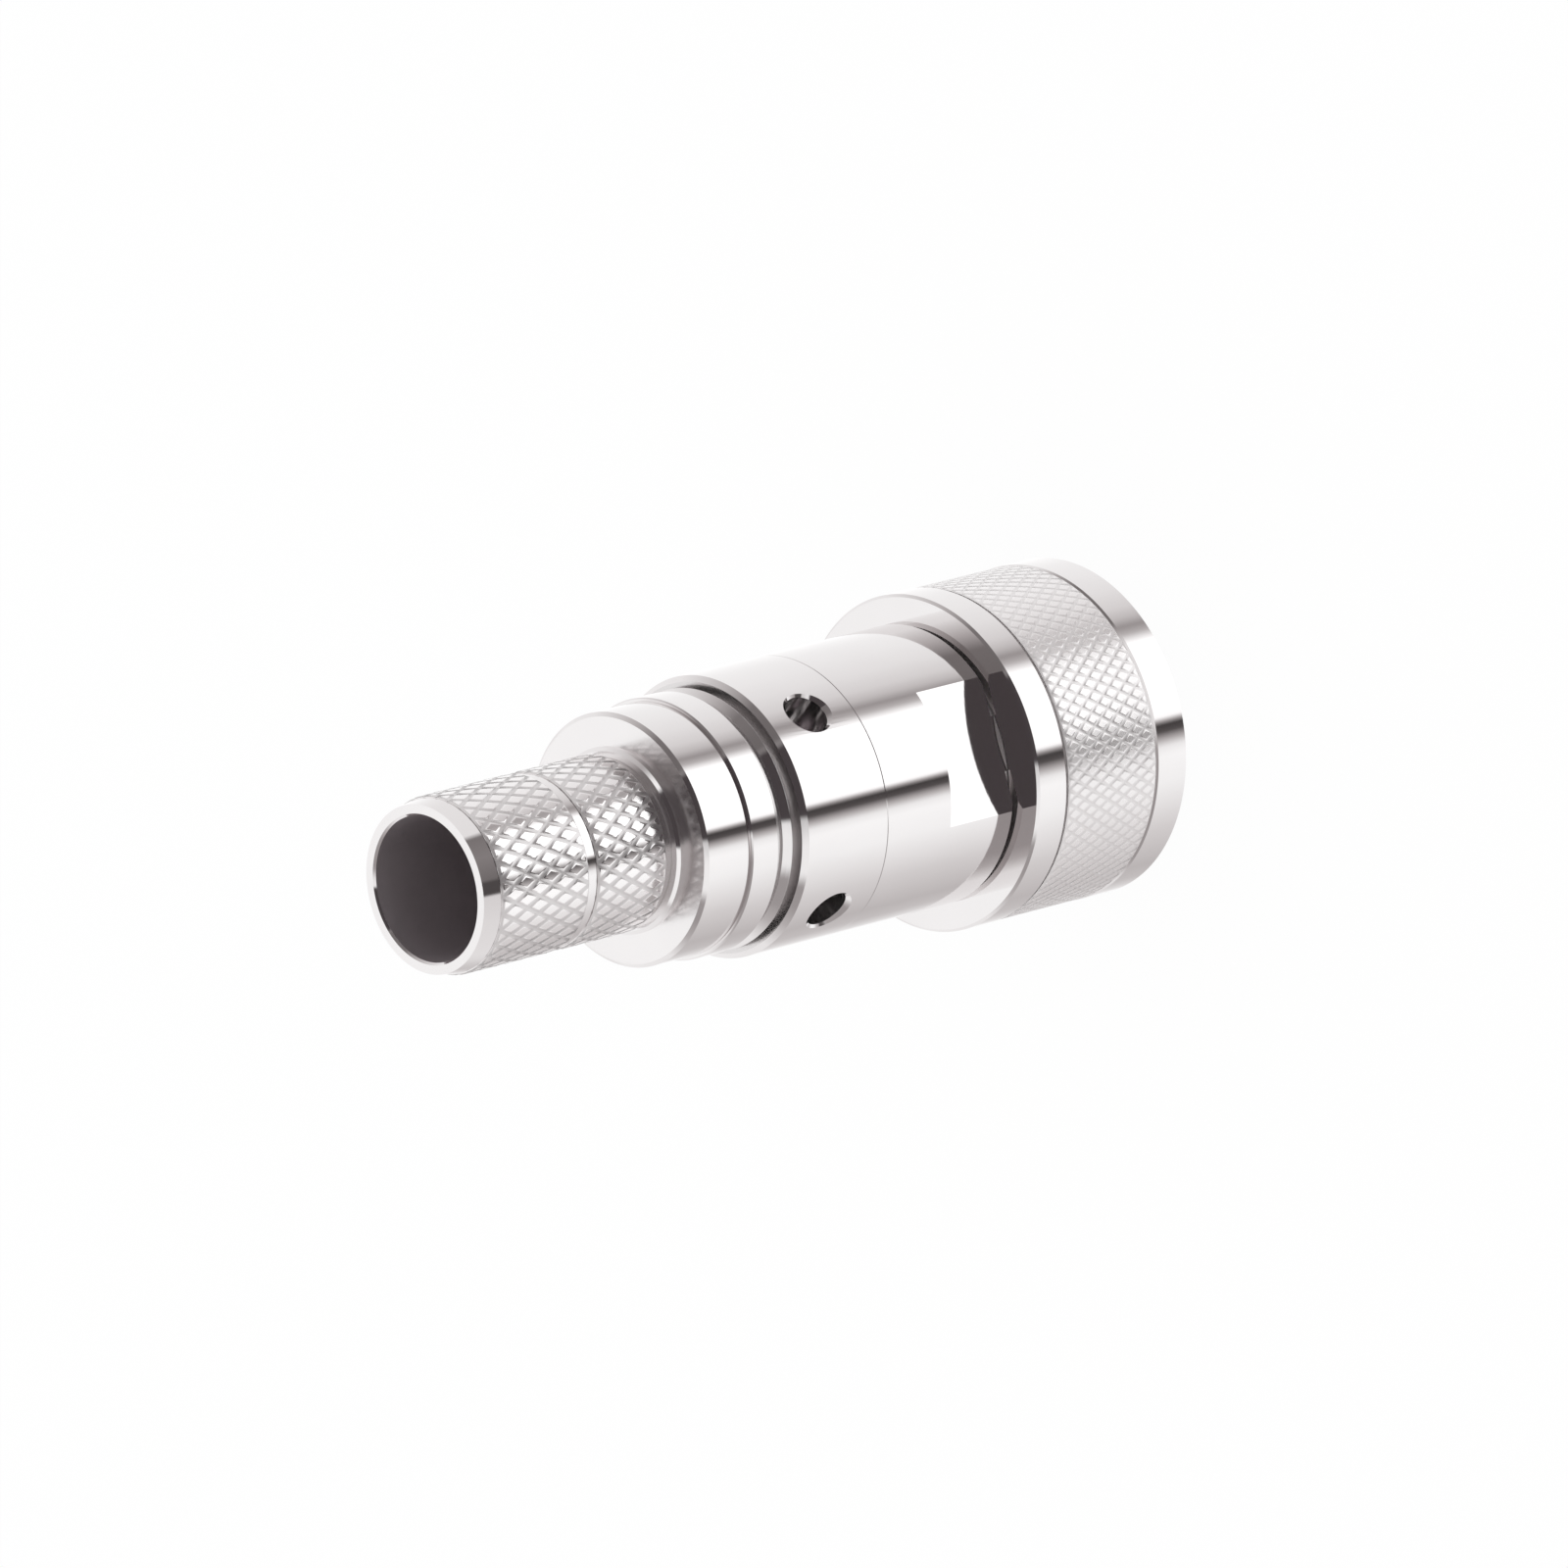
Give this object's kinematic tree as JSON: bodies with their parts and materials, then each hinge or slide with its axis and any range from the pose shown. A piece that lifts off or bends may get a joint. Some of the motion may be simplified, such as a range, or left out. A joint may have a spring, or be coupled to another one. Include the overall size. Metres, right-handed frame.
{
  "type": "uhf plug",
  "caption": "Straight crimp plug for thick coaxial cable: knurled coupling nut on a turned shell with wrench flats, solder holes, a centre pin and a knurled hollow crimp post.",
  "frame": {"origin": "on the plug's axis, at the open end of the coupling nut, which is the lowest face when the plug stands on its nut", "axes": "+Z along the plug's axis from the open end of the nut to the mouth of the crimp post; +X square to one wrench flat"},
  "size_m": [0.0184, 0.0184, 0.047],
  "materials": {
    "nickel": "bright nickel plate over brass, mirror-like on the plain bands",
    "spring_metal": "satin spring metal",
    "insulator": "smooth waxy white fluoroplastic",
    "contact": "bright plate over brass"
  },
  "bodies": {
    "shell": {"front_shell": "nickel", "rear_shell": "nickel", "crimp_post": "nickel", "insulator": "insulator", "centre_pin": "contact", "retaining_ring": "spring_metal"},
    "nut": {"coupling_nut": "nickel"}
  },
  "joints": [
    {"name": "nut_spin", "type": "hinge", "parent": "shell", "child": "nut", "pos_m": [0, 0, 0.01], "axis": [0, 0, 1], "continuous": true}
  ]
}
